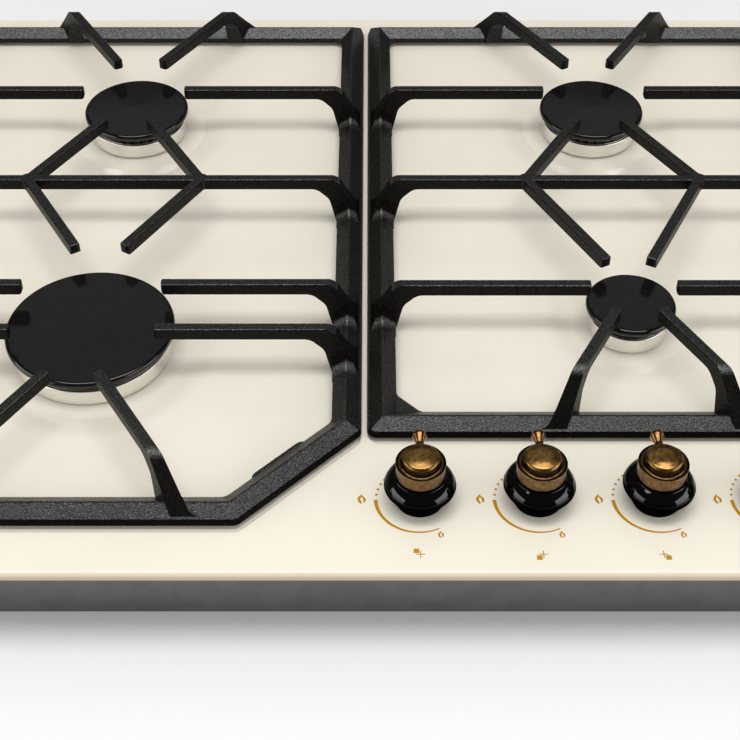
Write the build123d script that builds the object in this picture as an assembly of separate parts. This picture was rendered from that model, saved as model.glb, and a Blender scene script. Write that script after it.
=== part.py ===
from build123d import *
import math
import os

# Built-in gas cooktop with four burners, an enamelled steel top, two cast grates and four knobs.
# All sizes are in millimetres. X runs to the right, Y to the rear and Z up. The origin is the centre of
# the top in plan, at the height of the worktop that the rim seal rests on.

# ---- enamelled top ----
TOP_WIDTH = 600.0
TOP_DEPTH = 510.0
TOP_CORNER = 9.0
PANEL_Z = 6.5  # upper face of the rim and the control panel
SKIRT_Z = 2.0  # lower edge of the folded skirt
SHEET = 1.2
EDGE_ROUND = 2.6
WELL_DROP = 1.0  # how far each grate's well lies below the panel
WELL_GAP = 3.2  # from a grate's outline to the upper edge of its well
WELL_CORNER = 7.0
WELL_ROUND = 1.5
WELL_X_IN = 1.8  # upper edge of a well beside the rib between the two
WELL_Z = PANEL_Z - WELL_DROP
DISH_DROP = 1.9  # how far the dish round a burner lies below the well
DISH_Z = WELL_Z - DISH_DROP
SEAT_Z = DISH_Z - SHEET  # lower face of the sheet at a burner

# ---- cast grates ----
BAR_WIDTH = 14.3
BAR_Z = 8.6  # underside of the frame bars
BAR_SHOULDER_Z = 12.0  # where the upright flank ends and the roof begins
BAR_RIDGE_Z = 16.6
RIDGE_FLAT = 1.2
FLANK_OUT = 1.25  # draft of the outer flank: this much wider at the underside than at the shoulder
FRAME_CORNER = 4.0
FRAME_X_IN = 2.7  # outline of a grate beside the middle of the top
FRAME_X_OUT = 291.0
FRAME_Y_REAR = 233.0
RIGHT_Y_FRONT = -167.3
LEFT_Y_FRONT = -225.8
CHAMFER = 59.7  # cut corner of the left grate
GUSSET = 12.5  # web across an inner corner of the right grate
FINGER_TOP_Z = 38.0
FINGER_DEPTH = 6.5
FINGER_UNDER_Z = FINGER_TOP_Z - FINGER_DEPTH
FINGER_TOP_WIDTH = 5.6
FINGER_DRAFT = 0.061  # sideways growth of a finger's flank per mm of depth
FINGER_EDGE = 0.8
TOE_Z = 14.0  # height at which a slanted finger starts to spread into its bar
SLANT_TOE = 5.0  # spread of a slanted finger on the side where it leans away from its bar
ROOT_COVE = 9.5  # hollow rounding that spreads a square finger along its bar's roof
SIDE_RUN = 13.7  # from a bar's shoulder to where a finger turns level, for a square finger
SLANT_RUN = 20.7  # the same for a slanted finger
SIDE_BEND = 9.0
SLANT_BEND = 8.0
CROSSBAR_Y = 17.0
JUNCTION = 51.8  # from a burner's axis to where the arms leave the crossbar
WEB_RADIUS = 4.0
STAR_X = {"left": -150.2, "right": 148.1}
REAR_ROOT = 66.4
REAR_TIP = (14.3, 33.4)
# reach of the side fingers, their Y, tips of the slanted fingers and arms, and X of the slanted roots
FRONT_STAR = {
    "left": (38.3, (-78.9, -115.3), 13.6, 50.8, 61.8),
    "right": (23.6, (-79.8,), 12.2, 20.7, 49.0),
}
BAR_MID = BAR_WIDTH / 2
FOOT_Z = BAR_Z - 1.0
FOOT_SIZE = (24.0, BAR_WIDTH - 3.0)
CORNER_FOOT_SIZE = (38.0, BAR_WIDTH)  # stands 2 mm proud on the inner side of the cut corner
# plan position, turn and size of each foot
FEET = {
    "right": [
        (x, y, 90, FOOT_SIZE) for x in (FRAME_X_IN + BAR_MID, FRAME_X_OUT - BAR_MID) for y in (-125.0, 185.0)
    ],
    "left": [
        (-FRAME_X_IN - BAR_MID, -140.0, 90, FOOT_SIZE),
        (-FRAME_X_IN - BAR_MID, 185.0, 90, FOOT_SIZE),
        (-FRAME_X_OUT + BAR_MID, -185.0, 90, FOOT_SIZE),
        (-FRAME_X_OUT + BAR_MID, 185.0, 90, FOOT_SIZE),
        (-39.7, -190.1, 45, CORNER_FOOT_SIZE),
    ],
}
PAD_RADIUS = 4.5
PAD_STUD = 2.0
STUD_Z = 12.0

# ---- burners ----
# plan position, ring radius, lower and upper edge of the ring, top of the slotted crown, cap radius and
# thickness, where the dish round the burner starts to rise and where it ends, number of flame slots
REAR_BURNER = dict(
    y=114.0, ring=30.6, z0=4.9, z1=14.3, crown=19.3, cap=33.6, thick=4.0, dish=(43, 60), ports=32
)
BURNERS = {
    "front_left": dict(
        x=-150.2, y=-97.7, ring=43.2, z0=4.9, z1=14.2, crown=18.9, cap=46.2, thick=4.1, dish=(53, 68),
        ports=44,
    ),
    "rear_left": dict(x=-150.2, **REAR_BURNER),
    "front_right": dict(
        x=148.1, y=-79.6, ring=21.4, z0=4.9, z1=14.3, crown=20.0, cap=25.0, thick=3.9, dish=(31.5, 47),
        ports=24,
    ),
    "rear_right": dict(x=148.1, **REAR_BURNER),
}
CROWN_IN = 1.3  # how far the crown stands inside the ring
CROWN_WALL = 2.6
SLOT_WIDTH = 1.6
HOLE_IN = 3.2  # the hole in the enamel is this much smaller than the ring
NECK_GAP = 0.4
NECK_WALL = 2.4
CUP_FLANGE = 10.0
FLANGE_THICK = 2.0
CUP_WALL = 2.5
CUP_BOTTOM_Z = -34.5
INJECTOR_Z = -24.0
VENTURI_IN = 6.0
VENTURI_OUT = 8.0
PROBE_OUT = 3.4  # electrode and thermocouple stand this far outside the ring
ELECTRODE_ANGLE = 62.0
PROBE_ANGLE = 118.0
CERAMIC_RADIUS = 2.4
PROBE_RADIUS = 1.9
PROBE_NUT = 3.6
PIN_RADIUS = 0.8

# ---- knobs and valves ----
KNOB_PITCH = 58.85
KNOB_X = [27.6 + KNOB_PITCH * i for i in range(4)]
KNOB_Y = -208.0
KNOB_BURNERS = ["rear_left", "front_left", "front_right", "rear_right"]
SKIRT_RADIUS = 17.95
NECK_Z = PANEL_Z + 19.4  # where the bronze collar stands on the black skirt
POINTER_Z = PANEL_Z + 24.5
SEAL_RADIUS = 12.2
SPINDLE_RADIUS = 4.0
SPINDLE_Z = PANEL_Z + 25.0
RUNNING = 0.05  # radial clearance of a running fit
BORE = SPINDLE_RADIUS + RUNNING
COLLAR_TOP_Z = -3.5
COLLAR_BOTTOM_Z = -6.0
VALVE_TOP_Z = -14.0
VALVE_RADIUS = 9.5
SPRING_RADIUS = 5.7
SPRING_WIRE = 0.8
SPRING_TURNS = 4
RAIL_RADIUS = 7.0
RAIL_Y = -226.0
RAIL_Z = -28.0
RAIL_X_END = 250.0
PIPE_RADIUS = 4.0
PIPE_Z = {"rear_left": -20.5, "front_left": -29.5, "front_right": -26.0, "rear_right": -26.0}
INLET_RADIUS = 10.48  # outside of a G1/2 thread
INLET_LENGTH = 13.0

# ---- bottom tray ----
TRAY_X = 276.0
TRAY_Y_FRONT = -238.0
TRAY_Y_REAR = 228.0
TRAY_Z = -46.0
TRAY_SHEET = 1.0
TRAY_CORNER = 10.0
GLAND_X = -150.0
GLAND_RADIUS = 7.0
GLAND_FLANGE = 10.0
GLAND_BORE = 4.0
SEAL_WIDTH = 10.0
CLAMP_X = 262.0
CLAMP_Y = [-120.0, 170.0]
CLAMPS = [(side * CLAMP_X, y) for side in (-1, 1) for y in CLAMP_Y]
CLAMP_LENGTH = 38.0
CLAMP_WIDTH = 16.0
CLAMP_SHEET = 2.0
CLAMP_Z = -43.2
SCREW_RADIUS = 2.0
POCKET_Z = -38.0

os.makedirs("parts", exist_ok=True)


# ---- helpers ----
def face_of(points):
    """Flat face in XY from (x, y) corners, each with an optional third value, its rounding radius."""
    corners = []
    for i, point in enumerate(points):
        here = Vector(point[0], point[1])
        if len(point) < 3:
            corners.append((here, None, here))
            continue
        before = (Vector(*points[i - 1][:2]) - here).normalized()
        after = (Vector(*points[(i + 1) % len(points)][:2]) - here).normalized()
        half = math.radians(before.get_angle(after)) / 2
        reach = point[2] / math.tan(half)
        middle = here + (before + after).normalized() * (point[2] / math.sin(half) - point[2])
        corners.append((here + before * reach, middle, here + after * reach))
    edges = []
    for i, (start, middle, end) in enumerate(corners):
        following = corners[(i + 1) % len(corners)][0]
        if middle is not None:
            edges.append(ThreePointArc(start, middle, end))
        if (following - end).length > 1e-6:
            edges.append(Line(end, following))
    return make_face(edges)


def prism(points, z0, z1):
    """Upright solid between two heights over an outline."""
    return Pos(0, 0, z0) * extrude(face_of(points), z1 - z0)


def lathe(points, x=0.0, y=0.0):
    """Solid turned about the vertical axis through (x, y) from (radius, height) corners."""
    return Pos(x, y, 0) * revolve(Plane.XZ * face_of(points), Axis.Z)


def rod(x, y, z0, z1, radius):
    """Upright cylinder between two heights."""
    return Pos(x, y, z0) * extrude(Circle(radius), z1 - z0)


def block(x0, x1, y0, y1, z0, z1):
    """Box between two corners."""
    return Pos((x0 + x1) / 2, (y0 + y1) / 2, (z0 + z1) / 2) * Box(x1 - x0, y1 - y0, z1 - z0)


def round_box(x0, x1, y0, y1, z0, z1, radius):
    """Box with rounded upright corners."""
    return prism([(x0, y0, radius), (x1, y0, radius), (x1, y1, radius), (x0, y1, radius)], z0, z1)


def bent_tube(points, radius, bend):
    """Solid bar along straight runs joined by tangent bends of one radius."""
    runs = [Vector(*p) for p in points]
    edges = []
    start = runs[0]
    for before, here, after in zip(runs, runs[1:], runs[2:]):
        back = (before - here).normalized()
        ahead = (after - here).normalized()
        half = math.radians(back.get_angle(ahead)) / 2
        reach = bend / math.tan(half)
        middle = here + (back + ahead).normalized() * (bend / math.sin(half) - bend)
        edges.append(Line(start, here + back * reach))
        edges.append(ThreePointArc(here + back * reach, middle, here + ahead * reach))
        start = here + ahead * reach
    edges.append(Line(start, runs[-1]))
    section = Plane(origin=runs[0], z_dir=(runs[1] - runs[0])) * Circle(radius)
    return sweep(section, path=Wire([e.edge() for e in edges]))


def save(name, *shapes):
    """Write one node: a single solid or a group of separate ones."""
    solids = [s for shape in shapes for s in shape.solids()]
    export_step(solids[0] if len(solids) == 1 else Compound(children=solids), f"parts/{name}.step")
    return solids


def around(burner, radius, angle):
    """Plan position at a radius and an angle from a burner's axis."""
    turn = math.radians(angle)
    return burner["x"] + radius * math.cos(turn), burner["y"] + radius * math.sin(turn)


def outline(side, grow=0.0, near=None):
    """Corners of a grate's outline, anticlockwise, or of one grown or shrunk all round."""
    near = FRAME_X_IN - grow if near is None else near
    far = FRAME_X_OUT + grow
    rear = FRAME_Y_REAR + grow
    if side == "right":
        front = RIGHT_Y_FRONT - grow
        return [(near, front), (far, front), (far, rear), (near, rear)]
    front = LEFT_Y_FRONT - grow
    diagonal = -FRAME_X_IN - LEFT_Y_FRONT - CHAMFER + grow * math.sqrt(2)
    return [(-far, front), (diagonal + front, front), (-near, -near - diagonal), (-near, rear), (-far, rear)]


def rounded(points, radius):
    """The same corners, each with a rounding radius."""
    return [(x, y, radius) for x, y in points]


def between(low, z0, high, z1):
    """Solid between two outlines with as many corners each, at two heights."""
    return loft([Pos(0, 0, z0) * face_of(low), Pos(0, 0, z1) * face_of(high)], ruled=True)


# ---- enamelled top ----
def dish_cut(burner, drop):
    """Space above the shallow dish round a burner, lowered by drop for the underside of the sheet."""
    start, end = burner["dish"]
    floor = DISH_Z - drop
    lip = WELL_Z - drop
    rim = end + 8
    corners = [(0, floor), (start, floor, 10), (end - 2, lip, 50), (rim, lip + 0.12)]
    return lathe(corners + [(rim, lip + 4), (0, lip + 4)], burner["x"], burner["y"])


def pressed_form(inset, drop, bottom):
    """Block under the upper face of the pressed top, or under its lower face when inset and lowered."""
    half_x = TOP_WIDTH / 2 - inset
    half_y = TOP_DEPTH / 2 - inset
    form = round_box(-half_x, half_x, -half_y, half_y, bottom, PANEL_Z - drop, TOP_CORNER - inset)
    if not inset:
        form = fillet(form.edges().group_by(Axis.Z)[-1], EDGE_ROUND)
    for side in ("left", "right"):
        corners = rounded(outline(side, WELL_GAP + inset, WELL_X_IN - inset), WELL_CORNER)
        floor = Pos(0, 0, PANEL_Z - drop) * face_of(corners)
        form -= extrude(floor, -WELL_DROP, taper=45)
    for burner in BURNERS.values():
        form -= dish_cut(burner, drop)
    return form


def make_top():
    """Pressed sheet with two wells, a dish and a hole at each burner and a hole at each knob."""
    outer = pressed_form(0.0, 0.0, SKIRT_Z)
    level = [e for e in outer.edges() if abs(e.center().Z - PANEL_Z) < 0.01]
    half_x, half_y = TOP_WIDTH / 2 - 4, TOP_DEPTH / 2 - 4
    within = [e for e in level if abs(e.center().X) < half_x and abs(e.center().Y) < half_y]
    outer = fillet(within, WELL_ROUND)
    under = pressed_form(SHEET, SHEET, TRAY_Z - 10)
    top = outer - under
    for burner in BURNERS.values():
        top -= rod(burner["x"], burner["y"], -5, 10, burner["ring"] - HOLE_IN)
        for angle, radius in ((ELECTRODE_ANGLE, CERAMIC_RADIUS), (PROBE_ANGLE, PROBE_RADIUS)):
            top -= rod(*around(burner, burner["ring"] + PROBE_OUT, angle), -5, 10, radius + 0.5)
    for x in KNOB_X:
        top -= rod(x, KNOB_Y, 0, 10, 7.5)
    return top, under


# ---- grates ----
def half_width(z):
    """Half the width of a finger at a height."""
    return FINGER_TOP_WIDTH / 2 + (FINGER_TOP_Z - z) * FINGER_DRAFT


def flank(toe):
    """One side of a finger's section from the bar's underside up, with a toe that spreads into the bar."""
    top = (half_width(FINGER_TOP_Z), FINGER_TOP_Z, FINGER_EDGE)
    if not toe:
        return [(half_width(BAR_Z), BAR_Z), top]
    spread = half_width(BAR_SHOULDER_Z) + toe
    return [(spread, BAR_Z), (spread, BAR_SHOULDER_Z), (half_width(TOE_Z) + 0.2, TOE_Z, 2.5), top]


def blade(start, end, profile, inward, toes):
    """Finger from start to end: its profile square to its bar crossed with its section and its plan."""
    ahead = Vector(end[0] - start[0], end[1] - start[1]).normalized()
    length = math.dist(start, end)
    across = Vector(-ahead.Y, ahead.X)
    back = Vector(*start) - ahead * 8
    span = 16 + abs((end[0] - start[0]) * inward.Y - (end[1] - start[1]) * inward.X)
    side = Plane(origin=(*start, 0), x_dir=inward, z_dir=(inward.Y, -inward.X, 0))
    front = Plane(origin=back, x_dir=across, z_dir=ahead)
    level = Plane(origin=(*start, 0), x_dir=ahead, z_dir=(0, 0, 1))
    right = [(-corner[0], *corner[1:]) for corner in reversed(flank(toes[1]))]
    tip = half_width(FINGER_UNDER_Z) + 0.1
    plan = [
        (-8, -14),
        (length - 7, -14),
        (length - 7, -tip),
        (length, -tip, 2.2),
        (length, tip, 2.2),
        (length - 7, tip),
        (length - 7, 14),
        (-8, 14),
    ]
    shape = extrude(side * face_of(profile), span, both=True)
    shape &= extrude(front * face_of(flank(toes[0]) + right), length + 10)
    shape &= Pos(0, 0, 5) * extrude(level * face_of(plan), 40)
    return shape


def root_cove(start, profile, inward):
    """Root of a square finger, which spreads along the roof of its bar in a hollow curve."""
    half = (BAR_WIDTH - RIDGE_FLAT) / 2
    rise = BAR_RIDGE_Z - BAR_SHOULDER_Z
    inner = half + 0.4
    w = half_width(BAR_RIDGE_Z)
    sections = []
    for x, drop in ((0, rise), (half, 0), (half + RIDGE_FLAT, 0), (BAR_WIDTH + 0.4, rise * inner / half)):
        z = BAR_RIDGE_Z - 0.1 - drop
        corners = [
            (-w - ROOT_COVE, z - 2),
            (w + ROOT_COVE, z - 2),
            (w + ROOT_COVE, z),
            (w, z, ROOT_COVE),
            (w, z + ROOT_COVE),
            (-w, z + ROOT_COVE),
            (-w, z, ROOT_COVE),
            (-w - ROOT_COVE, z),
        ]
        sections.append(Plane(origin=(x, 0, 0), x_dir=(0, 1, 0), z_dir=(1, 0, 0)) * face_of(corners))
    cove = loft(sections[:2], ruled=True)
    for pair in (sections[1:3], sections[2:]):
        cove += loft(pair, ruled=True)
    seat = Plane(origin=(*start, 0), x_dir=inward, z_dir=(0, 0, 1))
    side = Plane(origin=(*start, 0), x_dir=inward, z_dir=(inward.Y, -inward.X, 0))
    return seat.location * cove & extrude(side * face_of(profile), 20, both=True)


def finger(start, end):
    """Cast finger that rises from a frame bar, bends level and ends in a rounded tip."""
    run_x, run_y = end[0] - start[0], end[1] - start[1]
    slanted = run_x != 0 and run_y != 0
    if slanted:
        inward = Vector(0, math.copysign(1, run_y))
        length = abs(run_y) + 10
        run, bend = SLANT_RUN, SLANT_BEND
        toes = (SLANT_TOE, 0) if run_x * run_y > 0 else (0, SLANT_TOE)
    else:
        inward = Vector(run_x, run_y).normalized()
        length = math.dist(start, end)
        run, bend = SIDE_RUN, SIDE_BEND
    profile = [
        (0.8, BAR_Z),
        (0.8, BAR_SHOULDER_Z + 0.4),
        (run, FINGER_TOP_Z, bend),
        (length, FINGER_TOP_Z, 1.0),
        (length, FINGER_UNDER_Z, 1.4),
        (BAR_WIDTH + 12.0, FINGER_UNDER_Z, 8.0),
        (BAR_WIDTH + 4.5, FINGER_UNDER_Z - 7.0, 8.0),
        (BAR_WIDTH + 0.6, BAR_Z),
    ]
    shape = blade(start, end, profile, inward, (0, 0))
    if not slanted:
        shape += root_cove(start, profile, inward)
    else:
        spread = blade(start, end, profile, inward, toes)
        y0, y1 = sorted((start[1], start[1] + inward.Y * BAR_MID))
        shape += spread & block(start[0] - 20, start[0] + 20, y0, y1, BAR_Z, FINGER_TOP_Z)
    return shape


def arm(start, end):
    """Level arm from the crossbar to a burner."""
    length = math.dist(start, end)
    ahead = Vector(end[0] - start[0], end[1] - start[1]).normalized()
    top, under = FINGER_TOP_Z, FINGER_UNDER_Z
    profile = [(0, under), (0, top), (length, top, 1.0), (length, under, 1.4)]
    return blade(start, end, profile, ahead, (0, 0))


def frame_ring(side, gusset):
    """Closed frame of bars with a roof-shaped section and drafted outer flanks."""
    edge = outline(side)
    round_edge = rounded(edge, FRAME_CORNER)
    foot = rounded(outline(side, FLANK_OUT), FRAME_CORNER + FLANK_OUT)
    half = (BAR_WIDTH - RIDGE_FLAT) / 2
    rise = BAR_RIDGE_Z - BAR_SHOULDER_Z
    over = 1.0
    roof = between(edge, BAR_SHOULDER_Z, outline(side, -half), BAR_RIDGE_Z)
    ring = between(foot, BAR_Z, round_edge, BAR_SHOULDER_Z)
    ring += roof & prism(round_edge, BAR_SHOULDER_Z - 1, BAR_RIDGE_Z + 1)
    inner = outline(side, -BAR_WIDTH)
    wide = BAR_WIDTH - half * (rise + over) / rise
    ring -= between(inner, BAR_SHOULDER_Z, outline(side, -wide), BAR_RIDGE_Z + over)
    hole = rounded(inner, 6.0)
    if gusset:
        x, y = inner[0]
        hole = [(x, y + gusset, 5.0), (x + gusset, y, 5.0)] + hole[1:]
    return ring - prism(hole, BAR_Z - 1, BAR_SHOULDER_Z + 0.3)


def rear_star(side):
    """Fingers and arms round the rear burner, with the crossbar."""
    sign = 1 if side == "right" else -1
    centre = STAR_X[side]
    near = sign * FRAME_X_IN
    far = sign * FRAME_X_OUT
    burner = BURNERS["rear_" + side]
    reach = burner["cap"] - 1.0
    tip_x, tip_y = REAR_TIP
    pieces = [
        finger((near, CROSSBAR_Y), (centre + sign * 6, CROSSBAR_Y)),
        finger((far, CROSSBAR_Y), (centre - sign * 6, CROSSBAR_Y)),
        finger((near, burner["y"]), (centre - sign * reach, burner["y"])),
        finger((far, burner["y"]), (centre + sign * reach, burner["y"])),
    ]
    for turn in (-1, 1):
        tip = (centre + turn * tip_x, burner["y"] - tip_y)
        pieces.append(arm((centre + turn * JUNCTION, CROSSBAR_Y), tip))
        pieces.append(rod(centre + turn * JUNCTION, CROSSBAR_Y, FINGER_UNDER_Z, FINGER_TOP_Z, WEB_RADIUS))
        root = (centre + turn * REAR_ROOT, FRAME_Y_REAR)
        pieces.append(finger(root, (centre + turn * tip_x, burner["y"] + tip_y)))
    return pieces


def front_star(side):
    """Fingers and arms round the front burner."""
    sign = 1 if side == "right" else -1
    centre = STAR_X[side]
    front_y = RIGHT_Y_FRONT if side == "right" else LEFT_Y_FRONT
    burner_y = BURNERS["front_" + side]["y"]
    reach, side_ys, tip_x, tip_y, root_x = FRONT_STAR[side]
    pieces = []
    for y in side_ys:
        pieces.append(finger((sign * FRAME_X_IN, y), (centre - sign * reach, y)))
        pieces.append(finger((sign * FRAME_X_OUT, y), (centre + sign * reach, y)))
    for turn in (-1, 1):
        x = centre + turn * tip_x
        pieces.append(arm((centre + turn * JUNCTION, CROSSBAR_Y), (x, burner_y + tip_y)))
        pieces.append(finger((centre + turn * root_x, front_y), (x, burner_y - tip_y)))
    return pieces


def make_grate(side, gusset, feet):
    """One cast grate in a single piece, with bosses for the pads under its bars."""
    grate = frame_ring(side, gusset)
    for piece in rear_star(side) + front_star(side):
        grate += piece
    for x, y, turn, size in feet:
        plan = Pos(x, y, FOOT_Z) * Rot(0, 0, turn) * RectangleRounded(*size, 5)
        grate += extrude(plan, BAR_SHOULDER_Z - 0.5 - FOOT_Z)
        grate -= rod(x, y, 0, STUD_Z + 0.2, PAD_STUD)
    return grate


def make_pad(x, y):
    """Rubber pad with the stud that holds it in the grate."""
    corners = [
        (0, WELL_Z),
        (PAD_RADIUS, WELL_Z, 0.4),
        (PAD_RADIUS, FOOT_Z),
        (PAD_STUD, FOOT_Z),
        (PAD_STUD, STUD_Z),
        (0, STUD_Z),
    ]
    return lathe(corners, x, y)


# ---- burners ----
def burner_sizes(burner):
    """Radii that follow from a burner's ring: hole, neck outside and inside, inner wall of the head."""
    hole = burner["ring"] - HOLE_IN
    neck = hole - NECK_GAP
    return hole, neck, neck - NECK_WALL, burner["ring"] - CROWN_IN - CROWN_WALL


def cup_outside(burner):
    """Corners of a cup's outside below the flange."""
    hole = burner_sizes(burner)[0]
    return [(hole + 1.5, SEAT_Z - FLANGE_THICK), (hole - 2.5, CUP_BOTTOM_Z)]


def make_cup(burner):
    """Burner cup: neck through the enamel, flange below it, body with the injector's seat."""
    hole, neck, neck_in, _ = burner_sizes(burner)
    (top_r, top_z), (low_r, low_z) = cup_outside(burner)
    floor = low_z + CUP_WALL
    corners = [
        (0, low_z),
        (low_r, low_z),
        (top_r, top_z),
        (hole + CUP_FLANGE, top_z),
        (hole + CUP_FLANGE, SEAT_Z),
        (neck, SEAT_Z),
        (neck, burner["z0"]),
        (neck_in, burner["z0"]),
        (neck_in, top_z - 2.0),
        (low_r - CUP_WALL, floor),
        (VENTURI_OUT, floor),
        (VENTURI_OUT, INJECTOR_Z),
        (3, INJECTOR_Z),
        (3, floor + 1),
        (0, floor + 1),
    ]
    cup = lathe(corners, burner["x"], burner["y"])
    for angle, radius in ((ELECTRODE_ANGLE, CERAMIC_RADIUS), (PROBE_ANGLE, PROBE_RADIUS)):
        cup -= rod(*around(burner, burner["ring"] + PROBE_OUT, angle), -6, 4, radius + RUNNING)
    for angle in (45, 135, 225, 315):
        cup -= Pos(burner["x"], burner["y"], -13) * Rot(0, 0, angle) * Pos(hole, 0, 0) * Box(14, 16, 9)
    return cup


def make_injector(burner):
    """Brass gas jet screwed into the cup, pointing up."""
    low = CUP_BOTTOM_Z + CUP_WALL + 1
    top = INJECTOR_Z + 7.5
    jet = extrude(Pos(0, 0, INJECTOR_Z) * RegularPolygon(5.0, 6), 4)
    jet += rod(0, 0, low, INJECTOR_Z, 3)
    jet += lathe([(0, INJECTOR_Z), (3.4, INJECTOR_Z), (3.4, top - 2.5), (2.0, top), (0, top)])
    jet -= rod(0, 0, CUP_BOTTOM_Z, 0, 0.7)
    return Pos(burner["x"], burner["y"], 0) * jet


def make_head(burner):
    """Aluminium flame spreader: ring, slotted crown, venturi tube and the spigot that centres it."""
    _, _, neck_in, wall_in = burner_sizes(burner)
    ring, z0, z1, top = burner["ring"], burner["z0"], burner["z1"], burner["crown"]
    spigot = neck_in - 0.3
    crown = ring - CROWN_IN
    floor = z0 + 2.6
    corners = [
        (ring, z0, 0.5),
        (ring, z1, 0.5),
        (crown, z1),
        (crown, top),
        (wall_in, top),
        (wall_in, floor),
        (VENTURI_OUT, floor),
        (VENTURI_OUT, floor + 2.4),
        (VENTURI_IN, floor + 2.4),
        (VENTURI_IN, z0 - 9),
        (VENTURI_OUT, z0 - 9),
        (VENTURI_OUT, z0),
        (spigot - 1.8, z0),
        (spigot - 1.8, z0 - 7),
        (spigot, z0 - 7),
        (spigot, z0),
    ]
    head = lathe(corners, burner["x"], burner["y"])
    size = (crown - wall_in + 2, SLOT_WIDTH, top + 0.5 - z1)
    slot = Pos((crown + wall_in) / 2, 0, z1 + 0.5 + size[2] / 2) * Box(*size)
    slots = [Rot(0, 0, 360 * i / burner["ports"]) * slot for i in range(burner["ports"])]
    return head - Pos(burner["x"], burner["y"], 0) * Compound(children=slots)


def make_cap(burner):
    """Enamelled cap with a rounded edge and a lip that drops inside the crown."""
    lip = burner_sizes(burner)[3] - 0.4
    low = burner["crown"]
    high = low + burner["thick"]
    corners = [
        (0, low + 1.0),
        (lip - 1.6, low + 1.0),
        (lip - 1.6, low - 1.6),
        (lip, low - 1.6),
        (lip, low),
        (burner["cap"], low, 0.7),
        (burner["cap"], high - 0.3, 2.2),
        (0, high + 0.2),
    ]
    return lathe(corners, burner["x"], burner["y"])


def make_electrode(burner):
    """Ceramic body of a spark electrode and the metal pin through it."""
    x, y = around(burner, burner["ring"] + PROBE_OUT, ELECTRODE_ANGLE)
    seat = SEAT_Z - FLANGE_THICK
    body = [
        (PIN_RADIUS, 12.5),
        (1.8, 12.5),
        (CERAMIC_RADIUS, 11.0),
        (CERAMIC_RADIUS, seat),
        (PROBE_NUT, seat),
        (PROBE_NUT, -8),
        (CERAMIC_RADIUS, -8),
        (CERAMIC_RADIUS, -22),
        (PIN_RADIUS, -22),
    ]
    return lathe(body, x, y), rod(x, y, -26, 16, PIN_RADIUS)


def make_thermocouple(burner):
    """Flame sensor with its nut under the cup's flange."""
    x, y = around(burner, burner["ring"] + PROBE_OUT, PROBE_ANGLE)
    seat = SEAT_Z - FLANGE_THICK
    corners = [
        (0, 15.5),
        (PROBE_RADIUS, 15.5, 0.8),
        (PROBE_RADIUS, seat),
        (PROBE_NUT, seat),
        (PROBE_NUT, -7),
        (1.5, -7),
        (1.5, -20),
        (0, -20),
    ]
    return lathe(corners, x, y)


# ---- knobs ----
def make_skirt(x):
    """Black glossy knob skirt, hollow underneath so that it can be pressed down over the seal."""
    base = PANEL_Z
    corners = [
        (13.5, base + 4.5),
        (14.1, base + 4.5),
        (SKIRT_RADIUS, base + 11.1, 1.0),
        (16.8, base + 15.4, 9.5),
        (12.6, base + 18.0, 0.8),
        (12.35, NECK_Z),
        (7.05, NECK_Z),
        (7.05, base + 16),
        (BORE, base + 16),
        (BORE, base + 9),
        (13.5, base + 9),
    ]
    return lathe(corners, x, KNOB_Y)


def make_knob_cap(x):
    """Bronze collar with a lip, a hollowed ring and a dome in the middle."""
    base = PANEL_Z
    corners = [
        (0, SPINDLE_Z + 1),
        (BORE, SPINDLE_Z + 1),
        (BORE, base + 16),
        (7.0, base + 16),
        (7.0, NECK_Z),
        (12.1, NECK_Z, 0.3),
        (12.1, base + 25.9),
        (12.4, base + 26.2, 0.3),
        (12.4, base + 27.2, 0.4),
        (11.6, base + 27.2),
        (10.9, base + 26.7),
        (10.1, base + 26.7, 0.7),
        (8.9, base + 31.2, 2.4),
        (4.5, base + 32.6, 9.0),
        (0, base + 32.8),
    ]
    cap = lathe(corners, x, KNOB_Y)
    shank = Plane(origin=(x, KNOB_Y + 8.5, POINTER_Z), z_dir=(0, 1, 0)) * Circle(1.5)
    return cap - extrude(shank, 6)


def make_pointer(x):
    """Flared pin screwed into the side of the collar, turned about its own axis."""
    corners = [
        (0, 8.5),
        (1.5, 8.5),
        (1.5, 12.5),
        (2.2, 12.5),
        (2.2, 13.8, 0.5),
        (1.8, 14.6, 0.6),
        (3.7, 19.6, 1.0),
        (3.3, 21.2, 0.8),
        (0, 21.8),
    ]
    pin = revolve(Plane.XZ * face_of(corners), Axis.Z)
    return Pos(x, KNOB_Y, POINTER_Z) * Rot(-90, 0, 0) * pin


def make_spindle(x):
    """Valve spindle with the shoulder that presses the collar down."""
    shoulder = rod(x, KNOB_Y, COLLAR_TOP_Z, COLLAR_TOP_Z + 1.2, 5.4)
    return rod(x, KNOB_Y, -24, SPINDLE_Z, SPINDLE_RADIUS) + shoulder


def make_push_collar(x):
    """Ring round the spindle that rides down with it but doesn't turn."""
    ring = rod(x, KNOB_Y, COLLAR_BOTTOM_Z, COLLAR_TOP_Z, 6.6)
    return ring - rod(x, KNOB_Y, COLLAR_BOTTOM_Z - 1, COLLAR_TOP_Z + 1, BORE)


def make_spring(x):
    """Return spring between the valve and the push collar."""
    low = VALVE_TOP_Z + SPRING_WIRE / 2 + 0.05
    height = COLLAR_BOTTOM_Z - SPRING_WIRE / 2 - 0.05 - low
    coil = Helix(height / SPRING_TURNS, height, SPRING_RADIUS)
    section = Plane(origin=coil @ 0, z_dir=coil % 0) * RegularPolygon(SPRING_WIRE / 2, 6)
    return Pos(x, KNOB_Y, low) * sweep(section, path=coil, is_frenet=True)


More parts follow.
